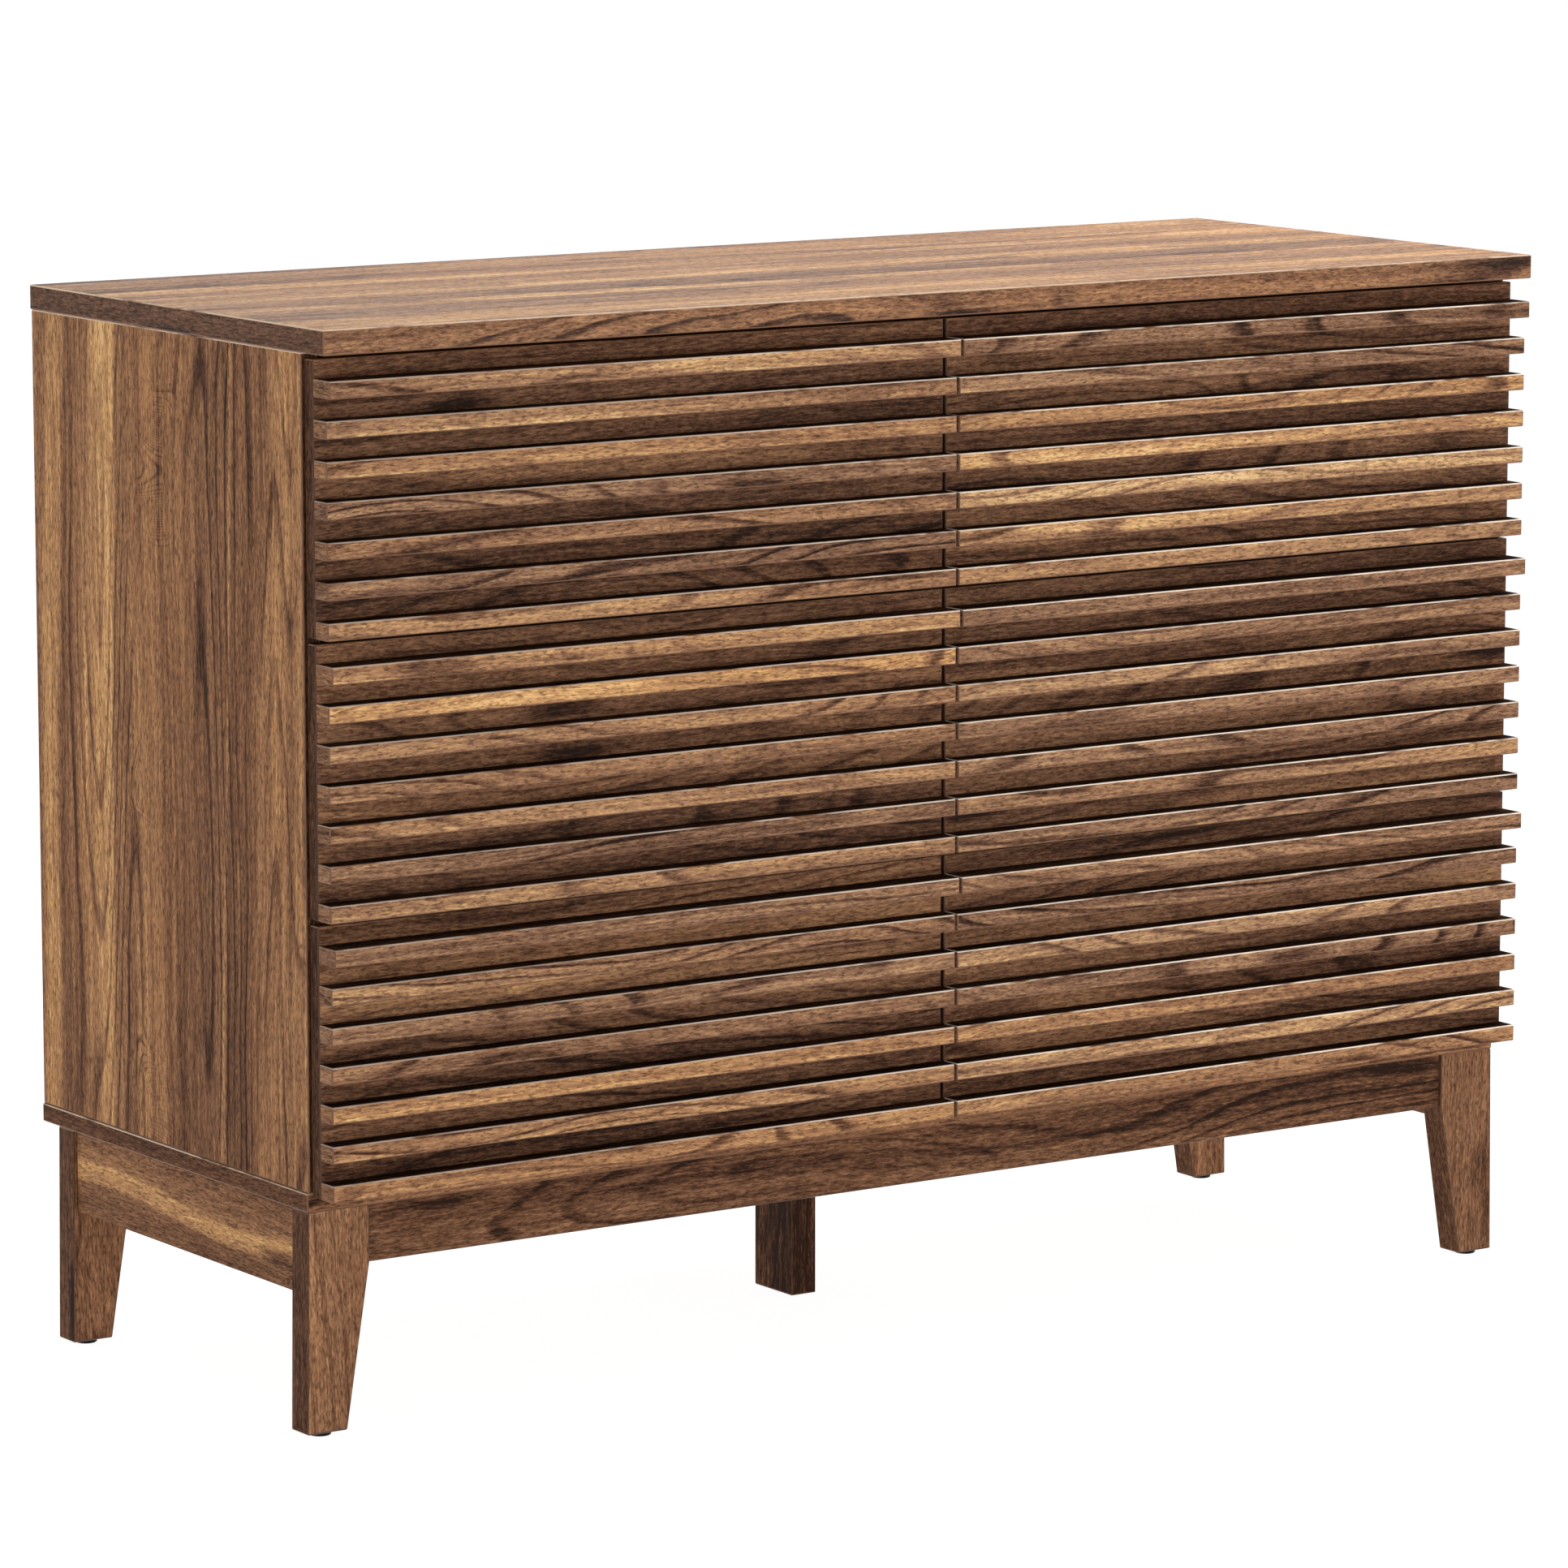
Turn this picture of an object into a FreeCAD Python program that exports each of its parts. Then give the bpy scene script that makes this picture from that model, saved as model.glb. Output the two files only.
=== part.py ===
"""Six-drawer double dresser: two columns of three drawers with slatted fronts.

Frame: millimetres, +Z up, the drawer fronts face -Y, +X to the right as the fronts are faced.
The origin is on the floor, midway along the width and the depth.
Every piece of board, metal and plastic is a solid of its own. Each call of save() writes one
named sub-part, which holds one solid or, for repeated pieces, a group of separate solids.
"""
import FreeCAD, Part
import os
from FreeCAD import Vector

# ---- driving dimensions: overall -----------------------------------------------------------
WIDTH = 1194.0              # top and bottom panels, end to end
HEIGHT = 876.0              # floor to the top surface
TOP_DEPTH = 468.0           # top panel, front edge to rear edge
PULL_PROUD = 3.0            # pull slats stand this far in front of the top panel's edge

# ---- driving dimensions: casework ----------------------------------------------------------
TOP_THICK = 20.0
BOARD_THICK = 15.0          # side, bottom and divider panels, and the aprons
SIDE_INSET = 1.0            # side panel's face, in from the ends of the top and bottom panels
SIDE_FRONT_SETBACK = 36.0   # side panel's front edge, behind the top panel's front edge
BOTTOM_FRONT_SETBACK = 37.0
REAR_INSET = 0.5            # side panel's rear edge, in from the top panel's rear edge
BACK_THICK = 3.0
REBATE_WIDE = 8.0           # lap of the back panel onto the panels around it
NAIL_HEAD_RADIUS = 2.6
NAIL_HEAD_THICK = 0.5
NAIL_SHANK_RADIUS = 0.9
NAIL_LENGTH = 14.0
NAILS_UP = 7                # nails in each upright row
NAILS_ALONG = 4             # nails in the bottom row of each half
NAIL_EDGE = 4.0             # nail row's distance from the back panel's edge

# ---- driving dimensions: base --------------------------------------------------------------
BASE_HEIGHT = 182.0         # floor to the underside of the bottom panel
GLIDE_HEIGHT = 3.5
GLIDE_RADIUS = 9.0
GLIDE_ROUND = 1.2
GLIDE_SHANK_RADIUS = 2.0
GLIDE_SHANK_LENGTH = 14.0
LEG_THICK = 25.0            # front to back
LEG_TOP_WIDE = 55.0
LEG_FOOT_WIDE = 36.0
LEG_SPLAY = 2.5             # foot's outer edge, out from the leg's top
REAR_LEG_SETBACK = 26.0     # rear leg's back face, in from the top panel's rear edge
APRON_TALL = 46.5           # front and rear aprons, and the straight part of each leg
SIDE_APRON_TALL = 68.0
APRON_RECESS = 2.5          # apron's face, behind the legs' faces
CENTER_LEG_WIDE = 24.0
CENTER_LEG_DEEP = 56.0
CENTER_LEG_CLEAR = 4.0      # the middle leg stops this far above the floor

# ---- driving dimensions: drawers -----------------------------------------------------------
ROWS = ("bottom", "middle", "top")
COLUMNS = ("left", "right")
FRONT_THICK = 12.0
FRONT_TALL = 216.0
FRONT_PITCH = 220.5         # one row of drawers to the next
FRONT_TOP_GAP = 4.5         # under the top panel
FRONT_END_INSET = 3.5       # drawer front's outer end, in from the end of the top panel
FRONT_CENTER_GAP = 2.4      # between the left and the right drawer fronts
FRONT_STAND_OFF = 1.5       # between the drawer front's back and the side panel
SLAT_COUNT = 7
SLAT_TALL = 14.0
SLAT_PITCH = 31.2
SLAT_DEPTH = 19.5
BOX_THICK = 12.0
BOX_TALL = 160.0
BOX_LENGTH = 400.0
BOX_LIFT = 12.0             # drawer box's lower edge, above the drawer front's lower edge
FLOOR_THICK = 3.0
FLOOR_LIFT = 8.0            # drawer floor, above the drawer box's lower edge
GROOVE_DEEP = 5.0

# ---- driving dimensions: telescopic slides -------------------------------------------------
SLIDE_SPACE = 12.7          # between the casework and the drawer box, each side
SLIDE_LENGTH = 390.0
SLIDE_SHEET = 1.2
SLIDE_LIFT = 62.0           # slide's centre line, above the drawer box's lower edge
SLIDE_START = 5.0           # slide's front end, behind the side panel's front edge
OUTER_TALL = 45.0
MIDDLE_TALL = 38.0
INNER_TALL = 30.0
OUTER_DEEP = 9.5            # flange reach of each member
MIDDLE_DEEP = 8.0
INNER_DEEP = 7.0
MIDDLE_OFFSET = 2.4         # middle member's web, in from the casework

# ---- worked out ----------------------------------------------------------------------------
DEPTH = TOP_DEPTH + PULL_PROUD
FRONT_Y = -DEPTH / 2                        # pull slats' faces
TOP_FRONT_Y = FRONT_Y + PULL_PROUD
REAR_Y = DEPTH / 2
TOP_UNDER_Z = HEIGHT - TOP_THICK
BOTTOM_TOP_Z = BASE_HEIGHT + BOARD_THICK
SIDE_OUT_X = WIDTH / 2 - SIDE_INSET
SIDE_IN_X = SIDE_OUT_X - BOARD_THICK
SIDE_FRONT_Y = TOP_FRONT_Y + SIDE_FRONT_SETBACK
BOTTOM_FRONT_Y = TOP_FRONT_Y + BOTTOM_FRONT_SETBACK
SIDE_REAR_Y = REAR_Y - REAR_INSET
BACK_Y = SIDE_REAR_Y - BACK_THICK           # back panel's inner face
FRONT_BACK_Y = SIDE_FRONT_Y - FRONT_STAND_OFF
FRONT_FACE_Y = FRONT_BACK_Y - FRONT_THICK
PULL_DEPTH = FRONT_FACE_Y - FRONT_Y
TOP_ROW_Z = TOP_UNDER_Z - FRONT_TOP_GAP - FRONT_TALL
GROOVE_Z = BOX_LIFT + FLOOR_LIFT


def block(low, high):
    """A box between two opposite corners."""
    size = [b - a for a, b in zip(low, high)]
    return Part.makeBox(size[0], size[1], size[2], Vector(*low))


def prism(outline, start, thickness):
    """A plate whose (x, z) outline is pushed back along +Y by its thickness."""
    points = [Vector(x, start, z) for x, z in outline]
    face = Part.Face(Part.makePolygon(points + points[:1]))
    return face.extrude(Vector(0, thickness, 0))


def mirrored(shape):
    """The same piece on the other side of the middle plane."""
    return shape.mirror(Vector(0, 0, 0), Vector(1, 0, 0))


def on_side(shape, side):
    """The piece as built for +X, or its mirror image for the left side."""
    return shape if side == "right" else mirrored(shape)


def save(node, solids):
    """Write one named sub-part and report its size."""
    group = solids if isinstance(solids, list) else [solids]
    shape = group[0] if len(group) == 1 else Part.makeCompound(group)
    assert all(s.isValid() and len(s.Solids) == 1 for s in group), node
    shape.exportStep("parts/" + node + ".step")
    box = shape.BoundBox
    print("%-28s %2d solid(s)  %7.1f x %6.1f x %6.1f mm" % (
        node, len(group), box.XLength, box.YLength, box.ZLength))


# ---- casework ------------------------------------------------------------------------------
def top_panel():
    return block((-WIDTH / 2, TOP_FRONT_Y, TOP_UNDER_Z), (WIDTH / 2, REAR_Y, HEIGHT))


def bottom_panel():
    """Full-width board with a rebate along its rear edge for the back panel."""
    board = block((-WIDTH / 2, BOTTOM_FRONT_Y, BASE_HEIGHT), (WIDTH / 2, REAR_Y, BOTTOM_TOP_Z))
    rebate_x = SIDE_IN_X + REBATE_WIDE
    rebate = block((-rebate_x, BACK_Y, BOTTOM_TOP_Z - REBATE_WIDE), (rebate_x, REAR_Y, BOTTOM_TOP_Z))
    return board.cut(rebate)


def side_panel():
    """Right side panel, with a rebate along its rear inner edge for the back panel."""
    board = block((SIDE_IN_X, SIDE_FRONT_Y, BOTTOM_TOP_Z), (SIDE_OUT_X, SIDE_REAR_Y, TOP_UNDER_Z))
    rebate = block((SIDE_IN_X, BACK_Y, BOTTOM_TOP_Z), (SIDE_IN_X + REBATE_WIDE, SIDE_REAR_Y, TOP_UNDER_Z))
    return board.cut(rebate)


def center_divider():
    half = BOARD_THICK / 2
    return block((-half, BOTTOM_FRONT_Y, BOTTOM_TOP_Z), (half, BACK_Y, TOP_UNDER_Z))


def back_panel():
    edge = SIDE_IN_X + REBATE_WIDE
    return block((-edge, BACK_Y, BOTTOM_TOP_Z - REBATE_WIDE), (edge, SIDE_REAR_Y, TOP_UNDER_Z))


def nail(x, z):
    """A flat-headed nail driven forward through the back panel."""
    forward = Vector(0, -1, 0)
    head = Part.makeCylinder(NAIL_HEAD_RADIUS, NAIL_HEAD_THICK, Vector(x, SIDE_REAR_Y + NAIL_HEAD_THICK, z), forward)
    shank = Part.makeCylinder(NAIL_SHANK_RADIUS, NAIL_LENGTH, Vector(x, SIDE_REAR_Y, z), forward)
    return head.fuse(shank).removeSplitter()


def spread(low, high, count):
    """Evenly spaced values from low to high."""
    return [low + (high - low) * i / (count - 1) for i in range(count)]


def back_panel_nails():
    """Upright rows at both ends and on the divider, and one row along the bottom."""
    edge_x = SIDE_IN_X + REBATE_WIDE - NAIL_EDGE
    low_z = BOTTOM_TOP_Z - REBATE_WIDE + NAIL_EDGE
    high_z = TOP_UNDER_Z - 10 * NAIL_EDGE
    nails = [nail(x, z) for x in (-edge_x, 0.0, edge_x) for z in spread(low_z, high_z, NAILS_UP)]
    for side in (-1, 1):
        along = spread(0.0, side * edge_x, NAILS_ALONG + 2)[1:-1]
        nails += [nail(x, low_z) for x in along]
    return nails


# ---- base ----------------------------------------------------------------------------------
def leg_front_y(end):
    """Front face of the front or the rear legs."""
    return BOTTOM_FRONT_Y if end == "front" else REAR_Y - REAR_LEG_SETBACK - LEG_THICK


def leg(end):
    """Right leg: upright above, its inner edge tapered below the apron, its outer edge splayed."""
    outline = [
        (SIDE_OUT_X, BASE_HEIGHT),
        (SIDE_OUT_X - LEG_TOP_WIDE, BASE_HEIGHT),
        (SIDE_OUT_X - LEG_TOP_WIDE, BASE_HEIGHT - APRON_TALL),
        (SIDE_OUT_X + LEG_SPLAY - LEG_FOOT_WIDE, GLIDE_HEIGHT),
        (SIDE_OUT_X + LEG_SPLAY, GLIDE_HEIGHT),
    ]
    return prism(outline, leg_front_y(end), LEG_THICK)


def glide_center(end):
    x = SIDE_OUT_X + LEG_SPLAY - LEG_FOOT_WIDE / 2
    return Vector(x, leg_front_y(end) + LEG_THICK / 2, 0)


def foot_glide(end):
    """Round nail-on glide: a disc with a rounded rim, and a shank driven into the leg's end."""
    center = glide_center(end)
    disc = Part.makeCylinder(GLIDE_RADIUS, GLIDE_HEIGHT, center)
    rim = [e for e in disc.Edges if abs(e.BoundBox.ZMax) < 0.01 and abs(e.BoundBox.ZMin) < 0.01]
    disc = disc.makeFillet(GLIDE_ROUND, rim)
    shank = Part.makeCylinder(GLIDE_SHANK_RADIUS, GLIDE_SHANK_LENGTH, center + Vector(0, 0, GLIDE_HEIGHT))
    return disc.fuse(shank).removeSplitter()


def long_apron(end):
    """Front or rear apron, between the legs."""
    half = SIDE_OUT_X - LEG_TOP_WIDE
    if end == "front":
        face_y = leg_front_y(end) + APRON_RECESS
    else:
        face_y = leg_front_y(end) + LEG_THICK - APRON_RECESS - BOARD_THICK
    return block((-half, face_y, BASE_HEIGHT - APRON_TALL), (half, face_y + BOARD_THICK, BASE_HEIGHT))


def side_apron():
    """Right apron, between the front and the rear leg."""
    out_x = SIDE_OUT_X - APRON_RECESS
    start_y = leg_front_y("front") + LEG_THICK
    low_z = BASE_HEIGHT - SIDE_APRON_TALL
    return block((out_x - BOARD_THICK, start_y, low_z), (out_x, leg_front_y("rear"), BASE_HEIGHT))


def center_leg():
    """Plain block under the middle of the bottom panel."""
    middle_y = (BOTTOM_FRONT_Y + REAR_Y) / 2
    half_x = CENTER_LEG_WIDE / 2
    half_y = CENTER_LEG_DEEP / 2
    return block((-half_x, middle_y - half_y, CENTER_LEG_CLEAR), (half_x, middle_y + half_y, BASE_HEIGHT))


# ---- telescopic slides ---------------------------------------------------------------------
SLIDE_FRONT_Y = SIDE_FRONT_Y + SLIDE_START
BAY_IN_X = BOARD_THICK / 2                  # divider's face
BAY_OUT_X = SIDE_IN_X                       # side panel's face


def channel(web_x, reach, tall, center_z):
    """A bent sheet channel along Y. Its web's face is at web_x and its flanges reach towards +X or -X."""
    toward = 1 if reach > 0 else -1
    flange_x = web_x + reach
    web_far_x = web_x + toward * SLIDE_SHEET
    half = tall / 2
    end_y = SLIDE_FRONT_Y + SLIDE_LENGTH
    outer = block(
        (min(web_x, flange_x), SLIDE_FRONT_Y, center_z - half),
        (max(web_x, flange_x), end_y, center_z + half))
    hollow = block(
        (min(web_far_x, flange_x), SLIDE_FRONT_Y, center_z - half + SLIDE_SHEET),
        (max(web_far_x, flange_x), end_y, center_z + half - SLIDE_SHEET))
    return outer.cut(hollow)


def slide_pair(member, center_z):
    """The two slides of one member, at the divider and at the side panel of the right bay."""
    pair = []
    for wall_x, toward in ((BAY_IN_X, 1), (BAY_OUT_X, -1)):
        if member == "outer":
            web_x, reach, tall = wall_x, toward * OUTER_DEEP, OUTER_TALL
        elif member == "middle":
            web_x, reach, tall = wall_x + toward * MIDDLE_OFFSET, toward * MIDDLE_DEEP, MIDDLE_TALL
        else:
            web_x, reach, tall = wall_x + toward * SLIDE_SPACE, -toward * INNER_DEEP, INNER_TALL
        pair.append(channel(web_x, reach, tall, center_z))
    return pair


# ---- drawers -------------------------------------------------------------------------------
FRONT_IN_X = FRONT_CENTER_GAP / 2
FRONT_OUT_X = WIDTH / 2 - FRONT_END_INSET
BOX_IN_X = BAY_IN_X + SLIDE_SPACE
BOX_OUT_X = BAY_OUT_X - SLIDE_SPACE
BOX_END_Y = FRONT_BACK_Y + BOX_LENGTH


def row_base_z(row):
    """Lower edge of the drawer fronts in a row."""
    steps_down = len(ROWS) - 1 - ROWS.index(row)
    return TOP_ROW_Z - steps_down * FRONT_PITCH


def drawer_front(base_z):
    """Front board, with a groove across its back for the drawer's floor."""
    board = block((FRONT_IN_X, FRONT_FACE_Y, base_z), (FRONT_OUT_X, FRONT_BACK_Y, base_z + FRONT_TALL))
    groove = drawer_floor_space(base_z)
    return board.cut(groove)


def drawer_floor_space(base_z):
    """The thin board of the drawer's floor, held in the grooves of the front and the sides."""
    low_z = base_z + GROOVE_Z
    in_x = BOX_IN_X + BOX_THICK - GROOVE_DEEP
    out_x = BOX_OUT_X - BOX_THICK + GROOVE_DEEP
    return block((in_x, FRONT_BACK_Y - GROOVE_DEEP, low_z), (out_x, BOX_END_Y, low_z + FLOOR_THICK))


def slats(base_z):
    """Slats across the front. The topmost one is deeper and serves as the pull."""
    pieces = []
    for i in range(SLAT_COUNT):
        low_z = base_z + i * SLAT_PITCH
        is_pull = i == SLAT_COUNT - 1
        face_y = FRONT_FACE_Y - (PULL_DEPTH if is_pull else SLAT_DEPTH)
        pieces.append(block((FRONT_IN_X, face_y, low_z), (FRONT_OUT_X, FRONT_FACE_Y, low_z + SLAT_TALL)))
    return pieces


def box_sides(base_z):
    low_z = base_z + BOX_LIFT
    floor = drawer_floor_space(base_z)
    inner = block((BOX_IN_X, FRONT_BACK_Y, low_z), (BOX_IN_X + BOX_THICK, BOX_END_Y, low_z + BOX_TALL))
    outer = block((BOX_OUT_X - BOX_THICK, FRONT_BACK_Y, low_z), (BOX_OUT_X, BOX_END_Y, low_z + BOX_TALL))
    return [inner.cut(floor), outer.cut(floor)]


def box_back(base_z):
    """Back board of the drawer box, standing on the drawer's floor."""
    low_z = base_z + GROOVE_Z + FLOOR_THICK
    high_z = base_z + BOX_LIFT + BOX_TALL
    return block(
        (BOX_IN_X + BOX_THICK, BOX_END_Y - BOX_THICK, low_z),
        (BOX_OUT_X - BOX_THICK, BOX_END_Y, high_z))


# ---- everything, one file for each sub-part ------------------------------------------------
def main():
    os.makedirs("parts", exist_ok=True)
    save("top_panel", top_panel())
    save("bottom_panel", bottom_panel())
    save("center_divider", center_divider())
    save("back_panel", back_panel())
    save("back_panel_nails", back_panel_nails())
    save("front_apron", long_apron("front"))
    save("rear_apron", long_apron("rear"))
    save("center_leg", center_leg())
    for side in COLUMNS:
        save(side + "_side_panel", on_side(side_panel(), side))
        save(side + "_apron", on_side(side_apron(), side))
        for end in ("front", "rear"):
            save(end + "_" + side + "_leg", on_side(leg(end), side))
    save("foot_glides", [on_side(foot_glide(end), side) for end in ("front", "rear") for side in COLUMNS])

    outer_slides = []
    for row in ROWS:
        base_z = row_base_z(row)
        slide_z = base_z + BOX_LIFT + SLIDE_LIFT
        for side in COLUMNS:
            drawer = row + "_" + side + "_drawer"
            outer_slides += [on_side(s, side) for s in slide_pair("outer", slide_z)]
            save(drawer + "_front", on_side(drawer_front(base_z), side))
            save(drawer + "_slats", [on_side(s, side) for s in slats(base_z)])
            save(drawer + "_box_sides", [on_side(s, side) for s in box_sides(base_z)])
            save(drawer + "_box_back", on_side(box_back(base_z), side))
            save(drawer + "_floor", on_side(drawer_floor_space(base_z), side))
            save(drawer + "_inner_slides", [on_side(s, side) for s in slide_pair("inner", slide_z)])
            save(drawer + "_middle_slides", [on_side(s, side) for s in slide_pair("middle", slide_z)])
    save("cabinet_slides", outer_slides)


main()
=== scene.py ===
"""Looks for the six-drawer dresser: walnut-print boards, slatted fronts, steel slides, light and camera."""

import math

import bpy
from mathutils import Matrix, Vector


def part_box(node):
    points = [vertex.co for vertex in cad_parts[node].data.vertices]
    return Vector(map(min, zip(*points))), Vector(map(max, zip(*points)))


ROWS = ("bottom", "middle", "top")
SIDES = ("left", "right")

# Camera: a long lens from the front left, slightly above the top panel.
CAMERA_AZIMUTH = -34.16
CAMERA_ELEVATION = 9.04
CAMERA_DISTANCE = 6.19
CAMERA_TARGET = (-0.0098, 0.0074, 0.4421)
CAMERA_LENS = 168.8
CAMERA_SENSOR = 36.0
CAMERA_FARTHEST = 400.0

# Edges: sawn and taped boards have a small eased arris.
WELD_DISTANCE = 0.00002
ARRIS_WIDTH = 0.001
ARRIS_ANGLE = math.radians(30)

# From one slat to the next, and how far below the lowest slat the counting starts.
SLAT_PITCH = 0.0312
SLAT_MARGIN = 0.004

# Each slat is cut from its own place in the print, with its own tone and pinkness.
SLAT_PRINT_PLACES = 97.0
SLAT_PRINT_STEP = 0.37
SLAT_TONE_SPREAD = 0.26
SLAT_PINKNESS_SPREAD = 1.1

# The print on a board's taped edges is a different piece from the print on its faces.
EDGE_PRINT_SHIFT = (7.3, 4.1, 0.0)

# Walnut print: its embossed pores, and how many growth lines the whole range of their field holds.
PRINT_BUMP_STRENGTH = 0.35
PRINT_BUMP_DEPTH = 0.0003
GROWTH_LINES = 19.0

# Nested V-shaped growth lines on the side panels, and their place from the rear edge as a share of the depth.
CATHEDRAL_PLACE = 0.45
CATHEDRAL_ARM_WIDTH = 0.0236
CATHEDRAL_ARM_POWER = 1.7
CATHEDRAL_LINE_HEIGHT = 0.046
CATHEDRAL_START = 60.0

FLOOR_SIZE = 160.0
FLOOR_GLOW = 0.95
WORLD_STRENGTH = 2.2


def srgb(red, green, blue):
    """A colour given as 0-255 sRGB numbers, as the linear colour with alpha that sockets want."""
    def linear(value):
        value /= 255
        return value / 12.92 if value <= 0.04045 else ((value + 0.055) / 1.055) ** 2.4
    return (linear(red), linear(green), linear(blue), 1.0)


class Graph:
    """Adds nodes to one node tree and links them, so that a material reads as a list of steps."""

    def __init__(self, tree):
        self.tree = tree

    def add(self, kind, **settings):
        node = self.tree.nodes.new("ShaderNode" + kind)
        for name, value in settings.items():
            setattr(node, name, value)
        return node

    def feed(self, socket, value):
        """Links an output to a socket, or sets a plain value on it."""
        if isinstance(value, bpy.types.NodeSocket):
            self.tree.links.new(value, socket)
        else:
            socket.default_value = value

    def feed_all(self, sockets, values):
        for socket, value in zip(sockets, values):
            self.feed(socket, value)

    def math(self, operation, *values, clamp=False):
        node = self.add("Math", operation=operation, use_clamp=clamp)
        self.feed_all(node.inputs, values)
        return node.outputs[0]

    def chain(self, operation, values, clamp=False):
        """Applies an operation to the values one after another, and keeps the result in 0 to 1 if asked."""
        result = values[0]
        for value in values[1:-1]:
            result = self.math(operation, result, value)
        return self.math(operation, result, values[-1], clamp=clamp)

    def plus(self, *values, clamp=False):
        return self.chain("ADD", values, clamp)

    def minus(self, *values, clamp=False):
        return self.chain("SUBTRACT", values, clamp)

    def times(self, *values):
        return self.chain("MULTIPLY", values)

    def share(self, value, low, high):
        """Where value lies on the way from low, 0, to high, 1."""
        return self.math("DIVIDE", self.minus(value, low), high - low)

    def vector(self, operation, *values):
        node = self.add("VectorMath", operation=operation)
        self.feed_all(node.inputs, values)
        return node.outputs["Vector"]

    def split(self, vector):
        node = self.add("SeparateXYZ")
        self.feed(node.inputs[0], vector)
        return tuple(node.outputs)

    def join(self, x, y, z):
        node = self.add("CombineXYZ")
        self.feed_all(node.inputs, (x, y, z))
        return node.outputs[0]

    def noise(self, vector, stretch, detail=2.0, roughness=0.5, distortion=0.0):
        """Smooth noise, about 0.5 on average. stretch is how many waves it makes per metre, on each axis."""
        node = self.add("TexNoise", noise_dimensions="3D")
        self.feed(node.inputs["Vector"], self.vector("MULTIPLY", vector, stretch))
        node.inputs["Scale"].default_value = 1.0
        node.inputs["Detail"].default_value = detail
        node.inputs["Roughness"].default_value = roughness
        node.inputs["Distortion"].default_value = distortion
        return node.outputs["Fac"]

    def sway(self, vector, stretch, detail=2.0, roughness=0.5):
        """Smooth noise that goes both ways from zero."""
        return self.minus(self.noise(vector, stretch, detail, roughness), 0.5)

    def step(self, value, low, high, start=0.0, end=1.0):
        """Goes smoothly from start to end as value goes from low to high."""
        node = self.add("MapRange", interpolation_type="SMOOTHSTEP")
        self.feed_all(node.inputs[:5], (value, low, high, start, end))
        return node.outputs[0]

    def ramp(self, value, stops):
        """A colour or a grey tone that follows value through stops: (place, colour) or (place, number)."""
        node = self.add("ValToRGB")
        elements = node.color_ramp.elements
        while len(elements) < len(stops):
            elements.new(1.0)
        for element, (place, colour) in zip(elements, stops):
            element.position = place
            element.color = colour if isinstance(colour, tuple) else (colour, colour, colour, 1.0)
        self.feed(node.inputs[0], value)
        return node.outputs["Color"]

    def mix(self, share, first, second, blend="MIX"):
        node = self.add("Mix", data_type="RGBA", blend_type=blend)
        self.feed(node.inputs["Factor"], share)
        self.feed(node.inputs["A"], first)
        self.feed(node.inputs["B"], second)
        return node.outputs["Result"]

    def blend(self, share, first, second):
        """A number that goes from first to second with share."""
        node = self.add("Mix", data_type="FLOAT")
        self.feed(node.inputs["Factor"], share)
        self.feed(node.inputs["A"], first)
        self.feed(node.inputs["B"], second)
        return node.outputs["Result"]

    def blend_vectors(self, share, first, second):
        """A point that goes from first to second with share."""
        node = self.add("Mix", data_type="VECTOR")
        self.feed_all([socket for socket in node.inputs if socket.enabled], (share, first, second))
        return [socket for socket in node.outputs if socket.enabled][0]

    def bump(self, height, strength, distance):
        node = self.add("Bump")
        node.inputs["Strength"].default_value = strength
        node.inputs["Distance"].default_value = distance
        self.feed(node.inputs["Height"], height)
        return node.outputs["Normal"]

    def point(self):
        """The point on the object in its own frame, in metres."""
        return self.add("TexCoord").outputs["Object"]

    def facing(self, axis):
        """How far the surface points along an axis: 1 or -1 where it faces straight along it."""
        normal = self.add("TexCoord").outputs["Normal"]
        return self.split(normal)["xyz".index(axis)]


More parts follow.
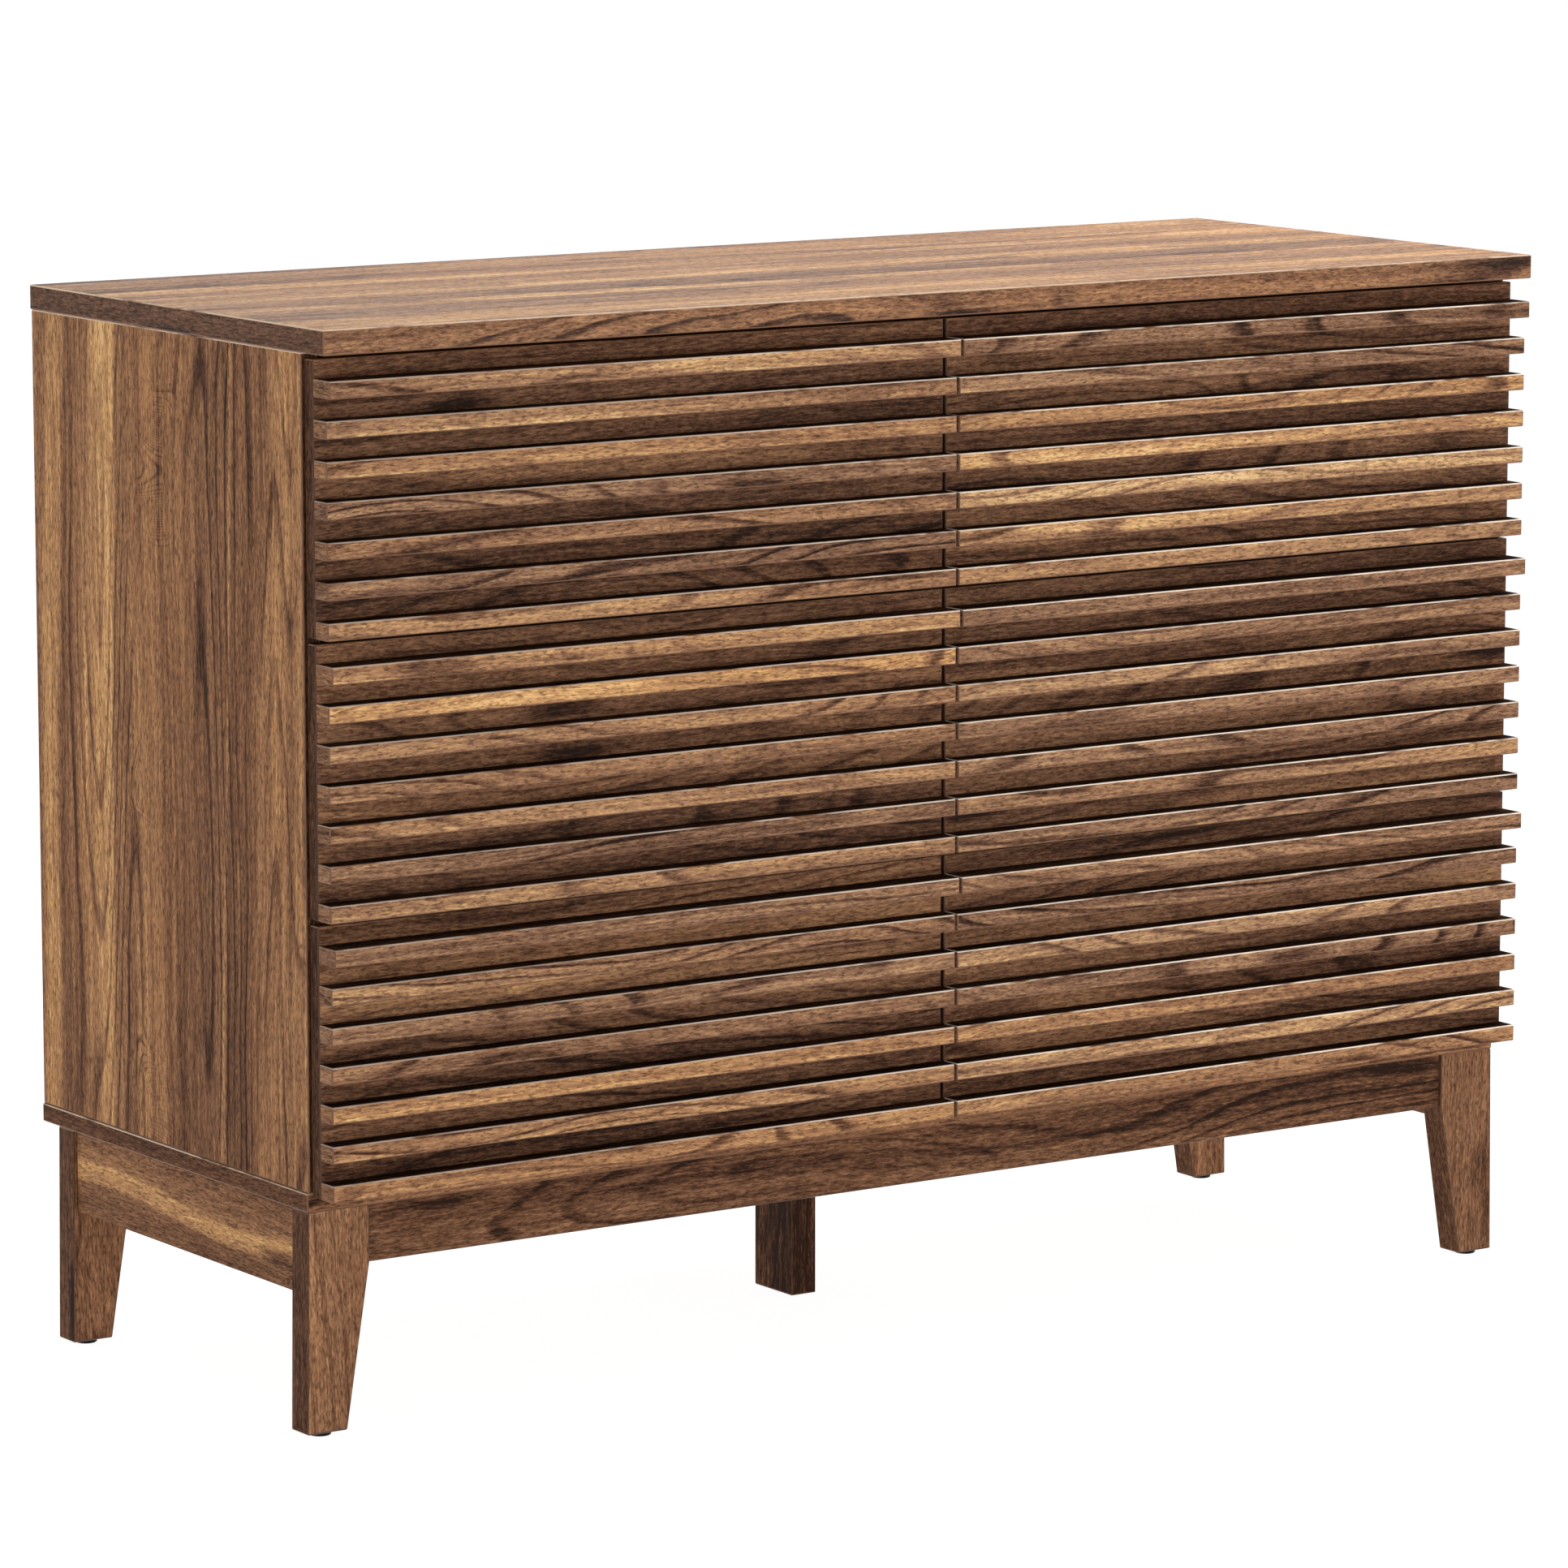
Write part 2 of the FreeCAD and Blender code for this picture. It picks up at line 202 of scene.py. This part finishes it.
def walnut_group():
    """The node group behind every walnut-print face.

    Its vector is a point in grain space, in metres: along the grain, across it on the face, and through it.
    Tone is the local shade from 0, near black, to 1, golden. Figure is how strong the growth lines are.
    """
    tree = bpy.data.node_groups.new("walnut_figure", "ShaderNodeTree")
    face = tree.interface
    face.new_socket("Vector", in_out="INPUT", socket_type="NodeSocketVector")
    for name, value in (("Seed", 0.0), ("Tone", 0.5), ("Bands", 1.0), ("Figure", 1.0), ("Streaks", 1.0),
                        ("Pinkness", 0.0), ("Curl", 0.75), ("Cathedral", 0.0), ("Cathedral Share", 0.0)):
        face.new_socket(name, in_out="INPUT", socket_type="NodeSocketFloat").default_value = value
    face.new_socket("Color", in_out="OUTPUT", socket_type="NodeSocketColor")
    face.new_socket("Height", in_out="OUTPUT", socket_type="NodeSocketFloat")
    face.new_socket("Roughness", in_out="OUTPUT", socket_type="NodeSocketFloat")
    g = Graph(tree)
    given = tree.nodes.new("NodeGroupInput").outputs
    seed = given["Seed"]
    shift = g.join(g.times(seed, 3.17), g.times(seed, 1.73), g.times(seed, 2.39))
    point = g.vector("ADD", given["Vector"], shift)

    # The grain wanders a few millimetres sideways along a board.
    wander = g.sway(point, (1.6, 3.0, 3.0))
    slow = g.vector("ADD", point, g.join(0.0, g.times(wander, 0.05), g.times(wander, 0.03)))
    quick = g.sway(point, (9.0, 26.0, 26.0))
    fine = g.vector("ADD", slow, g.join(0.0, g.times(quick, 0.006), 0.0))

    # Knots: a few long dark eyes, with the growth lines bending round them.
    along, across = g.split(slow)[:2]
    eyes = g.add("TexVoronoi", voronoi_dimensions="2D", feature="F1")
    g.feed(eyes.inputs["Vector"], g.join(g.times(along, 1.9), g.times(across, 11.0), 0.0))
    eyes.inputs["Scale"].default_value = 1.0
    eye_here = g.step(g.split(eyes.outputs["Color"])[0], 0.62, 0.66)
    eye = g.times(eye_here, g.step(eyes.outputs["Distance"], 0.02, 0.1, 1.0, 0.0))
    pull = g.times(eye_here, g.step(eyes.outputs["Distance"], 0.0, 0.36, 1.0, 0.0))

    # Growth lines: the level lines of a slow field, soft on one side and sharp on the other.
    field = g.noise(fine, g.join(given["Curl"], 9.0, 9.0), 1.2, 0.4)
    field = g.plus(field, g.times(pull, 0.1))
    field = g.blend(given["Cathedral Share"], g.times(field, GROWTH_LINES), given["Cathedral"])
    ring = g.math("FRACT", field)
    line = g.times(g.step(ring, 0.6, 0.88), g.step(ring, 0.9, 1.0, 1.0, 0.0))
    faded = g.step(g.noise(fine, (2.2, 20.0, 20.0), 1.0), 0.38, 0.62, 0.15, 1.0)
    faded = g.math("MAXIMUM", faded, g.times(given["Cathedral Share"], 0.8))
    line = g.times(line, faded, given["Figure"])

    # Broad bands, pale streaks with one sharp side, thin streaks, fibres, flecks and pores.
    bands = g.sway(slow, (0.55, 17.0, 17.0), 2.5, 0.6)
    pale_wood = g.noise(fine, (1.0, 13.0, 13.0), 1.5, 0.4)
    pale_wood = g.times(g.step(pale_wood, 0.555, 0.57), g.step(pale_wood, 0.56, 0.72, 1.0, 0.25))
    streaks = g.times(g.sway(fine, (2.2, 190.0, 190.0), 3.0, 0.7), given["Streaks"])
    fibres = g.sway(fine, (60.0, 430.0, 430.0), 2.0, 0.7)
    flecks = g.sway(point, (190.0, 760.0, 760.0), 2.0, 0.7)
    pores = g.step(g.noise(fine, (150.0, 640.0, 640.0), 1.0), 0.55, 0.64)

    tone = g.plus(
        given["Tone"],
        g.times(bands, 1.2, given["Bands"]),
        g.times(pale_wood, 0.2, given["Bands"]),
        g.times(streaks, 0.6),
        g.times(fibres, 0.7),
        g.times(flecks, 0.6),
    )
    tone = g.minus(tone, g.times(line, 0.36), g.times(eye, 0.36), clamp=True)
    colour = g.ramp(tone, (
        (0.0, srgb(36, 20, 11)),
        (0.18, srgb(77, 48, 31)),
        (0.36, srgb(110, 74, 50)),
        (0.52, srgb(138, 96, 66)),
        (0.68, srgb(165, 119, 80)),
        (0.84, srgb(193, 144, 92)),
        (1.0, srgb(222, 176, 118)),
    ))
    rosy = g.step(g.noise(slow, (0.8, 12.0, 12.0), 1.5), 0.36, 0.66)
    rosy = g.plus(g.times(rosy, 0.2), given["Pinkness"], clamp=True)
    colour = g.mix(rosy, colour, g.mix(1.0, colour, (0.95, 1.07, 1.3, 1.0), "MULTIPLY"))
    colour = g.mix(g.times(pores, 0.5), colour, srgb(48, 28, 17))

    height = g.minus(g.times(fibres, 0.8), g.times(pores, 0.7), g.times(line, 0.25))
    rough = g.minus(g.plus(0.43, g.times(pores, 0.16)), g.times(streaks, 0.14))
    given_back = tree.nodes.new("NodeGroupOutput").inputs
    g.feed(given_back["Color"], colour)
    g.feed(given_back["Height"], height)
    g.feed(given_back["Roughness"], rough)
    return tree


WALNUT = walnut_group()


def new_material(name):
    """A node material with only its shader and output, its graph, and its shader node."""
    material = bpy.data.materials.new(name)
    material.use_nodes = True
    graph = Graph(material.node_tree)
    return material, graph, material.node_tree.nodes["Principled BSDF"]


def grain_space(g, point, grain):
    """The point as (along the grain, across it, through it).

    grain is the axis that the grain follows. x_flat is for boards that lie flat, and z_front for upright ones
    that are seen from the front.
    """
    x, y, z = g.split(point)
    orders = {"x": (x, z, y), "x_flat": (x, y, z), "y": (y, z, x), "z": (z, y, x), "z_front": (z, x, y)}
    return g.join(*orders[grain])


def face_look(grain, tone, bands, figure, streaks):
    """How the print lies on the faces across one axis of a piece."""
    return {"grain": grain, "tone": tone, "bands": bands, "figure": figure, "streaks": streaks}


def edge_tape(grain, tone, streaks=0.4):
    """The quiet print on a board's taped edge."""
    return face_look(grain, tone, bands=0.15, figure=0.1, streaks=streaks)


def vary_by_slat(g, slat, seed, tone, pinkness):
    """The seed, tone and pinkness of one slat, drawn by its number."""
    dice = g.add("TexWhiteNoise", noise_dimensions="1D")
    g.feed(dice.inputs["W"], g.plus(slat, seed * 13.0))
    place_roll, tone_roll = g.split(dice.outputs["Color"])[:2]
    print_place = g.math("FLOOR", g.times(place_roll, SLAT_PRINT_PLACES))
    luck = g.minus(tone_roll, 0.5)
    return (
        g.plus(seed, g.times(print_place, SLAT_PRINT_STEP)),
        g.plus(tone, g.times(luck, SLAT_TONE_SPREAD)),
        g.minus(pinkness, g.times(luck, SLAT_PINKNESS_SPREAD)),
    )


def walnut(name, grain, seed, tone=0.5, bands=1.0, figure=1.0, streaks=1.0, pinkness=0.0, curl=0.75,
           gloss=0.03, faces=None, slat_of=None, cathedral_of=None):
    """A walnut-print material.

    seed picks a piece of the print. tone is a number, or a function of the graph and the point that gives a
    local one. faces gives the faces across an axis their own look. slat_of gives the number of the slat that
    a point is on. cathedral_of gives extra growth lines, and how far they take over from the usual ones.
    """
    material, g, shader = new_material(name)
    point = g.point()
    print_point = grain_space(g, point, grain)
    look = {"tone": tone(g, point) if callable(tone) else tone, "bands": bands, "figure": figure,
            "streaks": streaks}
    if slat_of:
        seed, look["tone"], pinkness = vary_by_slat(g, slat_of(g, point), seed, look["tone"], pinkness)
    shares = {}
    for axis, face in (faces or {}).items():
        share = g.step(g.math("ABSOLUTE", g.facing(axis)), 0.6, 0.8)
        face_point = g.vector("ADD", grain_space(g, point, face["grain"]), EDGE_PRINT_SHIFT)
        print_point = g.blend_vectors(share, print_point, face_point)
        for quality in look:
            look[quality] = g.blend(share, look[quality], face[quality])
        shares[axis] = share

    wood = g.add("Group", node_tree=WALNUT)
    g.feed(wood.inputs["Vector"], print_point)
    g.feed(wood.inputs["Seed"], seed)
    g.feed(wood.inputs["Pinkness"], pinkness)
    g.feed(wood.inputs["Curl"], curl)
    for quality, value in look.items():
        g.feed(wood.inputs[quality.capitalize()], value)
    if cathedral_of:
        lines, share = cathedral_of(g, point)
        g.feed(wood.inputs["Cathedral"], lines)
        g.feed(wood.inputs["Cathedral Share"], share)

    # Level faces with a look of their own, the slats' tops and undersides, are fully rough.
    rough = wood.outputs["Roughness"]
    if "z" in shares:
        rough = g.blend(shares["z"], rough, 1.0)
    g.feed(shader.inputs["Base Color"], wood.outputs["Color"])
    g.feed(shader.inputs["Roughness"], rough)
    g.feed(shader.inputs["Normal"], g.bump(wood.outputs["Height"], PRINT_BUMP_STRENGTH, PRINT_BUMP_DEPTH))
    shader.inputs["Specular IOR Level"].default_value = gloss
    return material


def side_tone(g, point):
    """Bands of a side panel's print, from its rear edge to its front edge, drifting a little with height."""
    low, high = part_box("left_side_panel")
    y, z = g.split(point)[1:]
    drift = g.times(g.sway(point, (3.0, 5.0, 1.3)), 0.035)
    lean = g.times(g.minus(z, high.z), 0.035)
    bands = g.ramp(g.share(g.plus(y, drift, lean), high.y, low.y), (
        (0.0, 0.5), (0.045, 0.46), (0.06, 0.72), (0.11, 0.74), (0.125, 0.48), (0.19, 0.52),
        (0.21, 0.68), (0.315, 0.84), (0.33, 0.5), (0.4, 0.5), (0.45, 0.62), (0.52, 0.56),
        (0.6, 0.5), (0.66, 0.42), (0.735, 0.46), (0.742, 0.7), (0.755, 0.46), (0.86, 0.48),
        (0.885, 0.62), (0.95, 0.68), (1.0, 0.6),
    ))
    paler_upwards = g.minus(g.times(g.share(z, low.z, high.z), 0.08), 0.07)
    return g.plus(bands, paler_upwards)


def side_cathedral(g, point):
    """Nested V-shaped growth lines that point down, not quite halfway from the rear edge to the front."""
    low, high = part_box("left_side_panel")
    y, z = g.split(point)[1:]
    sway = g.sway(point, (3.0, 3.0, 2.5))
    middle = high.y - CATHEDRAL_PLACE * (high.y - low.y)
    width = g.math("ABSOLUTE", g.minus(g.plus(y, g.times(sway, 0.03)), middle))
    arms = g.math("POWER", g.math("DIVIDE", width, CATHEDRAL_ARM_WIDTH), CATHEDRAL_ARM_POWER)
    nested = g.minus(g.math("DIVIDE", z, CATHEDRAL_LINE_HEIGHT), arms)
    lines = g.minus(CATHEDRAL_START, g.plus(nested, g.times(sway, 9.0)))
    patches = g.step(g.noise(point, (4.0, 4.0, 5.0), 1.0), 0.42, 0.62, 0.0, 0.75)
    return lines, g.times(g.step(width, 0.02, 0.045, 1.0, 0.0), patches)


def top_tone(g, point):
    """Streaks of the top's print, from the front edge to the rear edge."""
    low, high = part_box("top_panel")
    y = g.split(point)[1]
    drift = g.times(g.sway(point, (1.1, 3.0, 3.0)), 0.05)
    return g.ramp(g.share(g.plus(y, drift), low.y, high.y), (
        (0.0, 0.6), (0.1, 0.62), (0.14, 0.72), (0.17, 0.58), (0.26, 0.56), (0.3, 0.72),
        (0.34, 0.76), (0.36, 0.56), (0.46, 0.58), (0.5, 0.72), (0.56, 0.58), (0.66, 0.54),
        (0.7, 0.72), (0.76, 0.7), (0.78, 0.54), (0.9, 0.5), (0.94, 0.64), (1.0, 0.54),
    ))


def side_apron_tone(g, point):
    """One golden band through the middle of a side apron, falling a little towards the front."""
    low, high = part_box("left_apron")
    y, z = g.split(point)[1:]
    drift = g.times(g.sway(point, (2.0, 4.0, 9.0), 1.0), 0.03)
    lean = g.times(y, -0.03)
    return g.ramp(g.share(g.plus(z, drift, lean), low.z, high.z), (
        (0.0, 0.42), (0.2, 0.4), (0.3, 0.46), (0.36, 0.72), (0.55, 0.78), (0.6, 0.56),
        (0.8, 0.48), (1.0, 0.36),
    ))


def arris_material(name, dark, pale, left_share=1.0):
    """The thin eased edge of a board: patchy, and paler where it faces up, a painted highlight.

    left_share is how strong the painted highlight is at the left end of the dresser; it is at full strength
    towards the right end.
    """
    material, g, shader = new_material(name)
    point = g.point()
    patches = g.noise(point, (14.0, 14.0, 14.0), 3.0, 0.7)
    # Painted highlight: the up-facing eased edges turn pale in patches, more strongly towards the right end
    # of the dresser.
    facing_up = g.step(g.facing("z"), -0.05, 0.4)
    highlight_rightwards = g.step(g.split(point)[0], -0.5, 0.3, left_share, 1.0)
    share = g.times(facing_up, highlight_rightwards, g.step(patches, 0.32, 0.52))
    g.feed(shader.inputs["Base Color"], g.mix(share, dark, pale))
    g.feed(shader.inputs["Roughness"], g.step(patches, 0.3, 0.7, 0.18, 0.34))
    shader.inputs["Specular IOR Level"].default_value = 0.2
    return material


def drawer_board_material():
    """Pale wood-print board of the drawer boxes, grain front to back."""
    material, g, shader = new_material("drawer_board")
    fine = g.noise(g.point(), (420.0, 7.0, 420.0), 3.0, 0.6)
    slow = g.noise(g.point(), (30.0, 0.8, 30.0), 2.0, 0.5)
    share = g.plus(g.times(fine, 0.6), g.times(slow, 0.4))
    g.feed(shader.inputs["Base Color"], g.ramp(share, (
        (0.3, srgb(168, 140, 110)),
        (0.5, srgb(196, 168, 136)),
        (0.7, srgb(212, 188, 158)),
    )))
    g.feed(shader.inputs["Roughness"], g.step(fine, 0.3, 0.7, 0.5, 0.62))
    g.feed(shader.inputs["Normal"], g.bump(fine, 0.2, 0.0002))
    return material


def hardboard_material():
    """Smooth brown hardboard with pressed fibres."""
    material, g, shader = new_material("back_board")
    blotch = g.noise(g.point(), (7.0, 7.0, 7.0), 3.0, 0.6)
    fibre = g.noise(g.point(), (260.0, 260.0, 260.0), 3.0, 0.7, 1.2)
    share = g.plus(g.times(blotch, 0.25), g.times(fibre, 0.75))
    g.feed(shader.inputs["Base Color"], g.ramp(share, (
        (0.3, srgb(92, 66, 46)),
        (0.5, srgb(118, 88, 62)),
        (0.7, srgb(140, 108, 80)),
    )))
    g.feed(shader.inputs["Roughness"], g.step(fibre, 0.3, 0.7, 0.55, 0.75))
    g.feed(shader.inputs["Normal"], g.bump(fibre, 0.3, 0.0003))
    return material


def zinc_material():
    """Rolled zinc-plated steel: fine drawn lines front to back and faint cloudy spangle."""
    material, g, shader = new_material("zinc_steel")
    drawn = g.noise(g.point(), (900.0, 5.0, 900.0))
    cloud = g.noise(g.point(), (60.0, 60.0, 60.0), 3.0, 0.6)
    share = g.plus(g.times(drawn, 0.5), g.times(cloud, 0.5))
    g.feed(shader.inputs["Base Color"], g.ramp(share, (
        (0.35, srgb(176, 178, 180)),
        (0.5, srgb(192, 194, 196)),
        (0.65, srgb(204, 206, 206)),
    )))
    shader.inputs["Metallic"].default_value = 1.0
    g.feed(shader.inputs["Roughness"], g.step(cloud, 0.3, 0.7, 0.32, 0.42))
    g.feed(shader.inputs["Normal"], g.bump(drawn, 0.15, 0.0001))
    return material


def black_plastic_material():
    """Moulded black plastic with a fine matt grain and greyer scuffs."""
    material, g, shader = new_material("black_plastic")
    grain = g.noise(g.point(), (2200.0, 2200.0, 2200.0))
    scuff = g.step(g.noise(g.point(), (300.0, 300.0, 120.0), 3.0, 0.7), 0.5, 0.7)
    g.feed(shader.inputs["Base Color"], g.mix(scuff, srgb(6, 6, 7), srgb(16, 16, 16)))
    g.feed(shader.inputs["Roughness"], g.step(scuff, 0.0, 1.0, 0.42, 0.6))
    shader.inputs["Specular IOR Level"].default_value = 0.1
    g.feed(shader.inputs["Normal"], g.bump(grain, 0.2, 0.0001))
    return material


def ease_edges(piece, arris):
    """Welds the imported faces together and eases the sharp edges."""
    piece.data.materials.append(arris)
    weld = piece.modifiers.new("joined_faces", "WELD")
    weld.merge_threshold = WELD_DISTANCE
    bevel = piece.modifiers.new("eased_edges", "BEVEL")
    bevel.width = ARRIS_WIDTH
    bevel.segments = 2
    bevel.limit_method = "ANGLE"
    bevel.angle_limit = ARRIS_ANGLE
    bevel.material = len(piece.data.materials) - 1
    bevel.harden_normals = False


def dress(name, material, arris=None):
    """Gives a CAD node its material and, where it is a board, its eased edges."""
    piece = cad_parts[name]
    piece.data.materials.clear()
    piece.data.materials.append(material)
    if arris:
        ease_edges(piece, arris)


def dress_panels(bright_arris, dull_arris):
    """The top, the bottom, the sides and the divider."""
    dress("top_panel", walnut(
        "top_walnut", "x_flat", 1.0, tone=top_tone, bands=0.7, figure=0.7, streaks=1.8, pinkness=0.1,
        gloss=0.07, faces={"x": edge_tape("y", 0.24), "y": face_look("x", 0.45, 0.6, 1.0, 1.2)},
    ), bright_arris)
    dress("bottom_panel", walnut(
        "bottom_walnut", "x_flat", 2.0, tone=0.4, faces={"x": edge_tape("y", 0.3)},
    ), bright_arris)
    for number, side in enumerate(SIDES):
        dress(f"{side}_side_panel", walnut(
            f"{side}_side_walnut", "z", 3.0 + number, tone=side_tone, bands=0.5, figure=0.9, streaks=1.25,
            faces={"y": edge_tape("z_front", 0.1)}, cathedral_of=side_cathedral,
        ), bright_arris)
    dress("center_divider", walnut("divider_walnut", "z", 9.3, tone=0.36), dull_arris)


def dress_base(arris):
    """The aprons and the legs."""
    for number, side in enumerate(SIDES):
        dress(f"{side}_apron", walnut(
            f"{side}_apron_walnut", "y", 5.0 + number, tone=side_apron_tone, bands=0.15, figure=0.25,
            streaks=0.6,
        ), arris)
    dress("front_apron", walnut(
        "front_apron_walnut", "x", 7.4, tone=0.28, bands=0.3, figure=0.75, pinkness=0.3, curl=1.6,
    ), arris)
    dress("rear_apron", walnut("rear_apron_walnut", "x", 8.1, tone=0.36), arris)
    # The centre leg is printed near black (tone 0.05): painted shade, as it stands in the shadow under the
    # dresser.
    dress("center_leg", walnut("center_leg_walnut", "z_front", 10.7, tone=0.05, bands=0.5, figure=0.6), arris)
    leg_tones = (("front_left", 0.46), ("front_right", 0.36), ("rear_left", 0.42), ("rear_right", 0.42))
    for number, (leg, leg_tone) in enumerate(leg_tones):
        dress(f"{leg}_leg", walnut(
            f"{leg}_leg_walnut", "z_front", 11.0 + 1.3 * number, tone=leg_tone, bands=0.35, figure=0.4,
            streaks=0.6, pinkness=0.25, faces={"x": edge_tape("z", 0.26, streaks=0.45)},
        ), arris)


def dress_front(drawer, seed, slat_pinkness, slat_arris, board_arris):
    """A drawer's front board and the slats across it."""
    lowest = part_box(f"{drawer}_slats")[0].z

    def slat_number(g, point):
        height = g.minus(g.split(point)[2], lowest - SLAT_MARGIN)
        return g.math("FLOOR", g.math("DIVIDE", height, SLAT_PITCH))

    # The slats' level faces, their tops and undersides, are printed near black (tone 0.06): painted shade of
    # the narrow gaps between the slats.
    dress(f"{drawer}_slats", walnut(
        f"{drawer}_slat_walnut", "x", seed, tone=0.6, bands=0.6, figure=1.1, streaks=1.35,
        pinkness=slat_pinkness, curl=1.6, slat_of=slat_number,
        faces={"x": face_look("y", 0.5, 0.5, 0.5, 0.8), "z": face_look("x", 0.06, 0.3, 0.3, 0.7)},
    ), slat_arris)
    # The front board is printed darker than the slats (tone 0.32); this darkness is partly painted shade of
    # the recesses between the slats.
    dress(f"{drawer}_front", walnut(
        f"{drawer}_front_walnut", "x", seed + 1.1, tone=0.32, bands=0.8, figure=0.6, pinkness=0.3, curl=1.2,
        faces={"x": edge_tape("z", 0.14)},
    ), board_arris)


def dress_insides():
    """The drawer boxes, the back, the slides and the glides."""
    board = drawer_board_material()
    zinc = zinc_material()
    hardboard = hardboard_material()
    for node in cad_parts:
        if node.endswith(("_box_sides", "_box_back")):
            dress(node, board, board)
        elif node.endswith("_drawer_floor"):
            dress(node, hardboard)
        elif node.endswith("_slides"):
            dress(node, zinc)
    dress("back_panel", hardboard)
    dress("back_panel_nails", zinc)
    dress("foot_glides", black_plastic_material())


def dress_object():
    """Gives every CAD node its finish."""
    brown = srgb(112, 78, 57)
    # The pale colours given to the arrises are painted highlights on the eased edges.
    bright_arris = arris_material("walnut_arris", brown, srgb(226, 198, 170))
    slat_arris = arris_material("slat_arris", brown, srgb(250, 234, 216), left_share=0.35)
    dull_arris = arris_material("walnut_dull_arris", srgb(78, 52, 38), srgb(128, 94, 70))
    dress_panels(bright_arris, dull_arris)
    dress_base(dull_arris)
    for row_number, row in enumerate(ROWS):
        for side_number, side in enumerate(SIDES):
            dress_front(
                f"{row}_{side}_drawer",
                seed=20.0 + 4.7 * row_number + 2.9 * side_number,
                slat_pinkness=0.5 + 0.35 * side_number,
                slat_arris=slat_arris,
                board_arris=dull_arris,
            )
    dress_insides()


def make_floor():
    """A plain white studio floor, partly glowing so that it stays near white under the dresser."""
    bpy.ops.mesh.primitive_plane_add(size=FLOOR_SIZE, location=(0.0, 0.0, 0.0))
    floor = bpy.context.object
    floor.name = "studio_floor"
    material, g, shader = new_material("studio_floor_white")
    mottle = g.noise(g.point(), (0.7, 0.7, 0.7))
    g.feed(shader.inputs["Base Color"], g.ramp(mottle, (
        (0.3, srgb(126, 126, 126)),
        (0.7, srgb(132, 132, 132)),
    )))
    shader.inputs["Roughness"].default_value = 0.9
    shader.inputs["Specular IOR Level"].default_value = 0.0
    shader.inputs["Emission Color"].default_value = (1.0, 1.0, 1.0, 1.0)
    shader.inputs["Emission Strength"].default_value = FLOOR_GLOW
    floor.data.materials.append(material)


def make_world():
    """Studio walls: bright near the horizon, dark overhead, so that the slats' tops stay in shade."""
    world = bpy.data.worlds.new("studio")
    bpy.context.scene.world = world
    world.use_nodes = True
    g = Graph(world.node_tree)
    height = g.split(g.add("TexCoord").outputs["Generated"])[2]
    brightness = g.ramp(g.math("MULTIPLY_ADD", height, 0.5, 0.5), (
        (0.0, 1.0), (0.5, 1.0), (0.57, 0.95), (0.64, 0.24), (0.75, 0.06), (1.0, 0.1),
    ))
    background = world.node_tree.nodes["Background"]
    g.feed(background.inputs["Color"], brightness)
    background.inputs["Strength"].default_value = WORLD_STRENGTH


def area_light(name, place, aim, size, power, colour=(1.0, 1.0, 1.0)):
    """A rectangular softbox that the camera doesn't see."""
    data = bpy.data.lights.new(name, "AREA")
    data.shape = "RECTANGLE"
    data.size, data.size_y = size
    data.energy = power
    data.color = colour
    light = bpy.data.objects.new(name, data)
    light.visible_camera = False
    bpy.context.scene.collection.objects.link(light)
    light.location = place
    light.rotation_euler = (Vector(aim) - Vector(place)).to_track_quat("-Z", "Y").to_euler()


def make_lights():
    """A warm softbox over the top panel, a smaller one to the right, and a low one in front."""
    area_light("overhead_softbox", place=(1.05, 0.7, 3.3), aim=(0.2, 0.1, 0.87), size=(2.4, 1.4), power=83.0,
               colour=(1.0, 0.95, 0.88))
    area_light("right_softbox", place=(2.6, -0.8, 3.3), aim=(0.3, -0.2, 0.6), size=(1.2, 0.7), power=34.0)
    area_light("front_softbox", place=(2.2, -4.4, 0.55), aim=(0.1, -0.2, 0.5), size=(2.0, 0.9), power=66.0)


def make_camera():
    """The camera, turned about the target by its azimuth and elevation."""
    azimuth = math.radians(CAMERA_AZIMUTH)
    elevation = math.radians(CAMERA_ELEVATION)
    level = math.cos(elevation)
    towards = Vector((math.sin(azimuth) * level, -math.cos(azimuth) * level, math.sin(elevation)))
    data = bpy.data.cameras.new("camera")
    data.lens = CAMERA_LENS
    data.sensor_width = CAMERA_SENSOR
    data.clip_end = CAMERA_FARTHEST
    camera = bpy.data.objects.new("camera", data)
    bpy.context.scene.collection.objects.link(camera)
    camera.location = Vector(CAMERA_TARGET) + towards * CAMERA_DISTANCE
    camera.rotation_euler = towards.to_track_quat("Z", "Y").to_euler()
    bpy.context.scene.camera = camera


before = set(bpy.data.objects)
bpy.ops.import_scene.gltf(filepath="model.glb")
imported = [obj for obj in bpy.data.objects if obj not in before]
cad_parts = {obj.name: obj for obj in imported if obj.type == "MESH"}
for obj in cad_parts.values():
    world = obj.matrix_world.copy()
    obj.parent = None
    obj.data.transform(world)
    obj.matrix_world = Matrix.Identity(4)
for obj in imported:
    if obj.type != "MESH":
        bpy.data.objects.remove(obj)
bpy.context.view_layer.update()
make_camera()
make_world()
make_lights()
make_floor()
dress_object()
bpy.context.scene.view_settings.view_transform = "Standard"

bpy.context.view_layer.update()
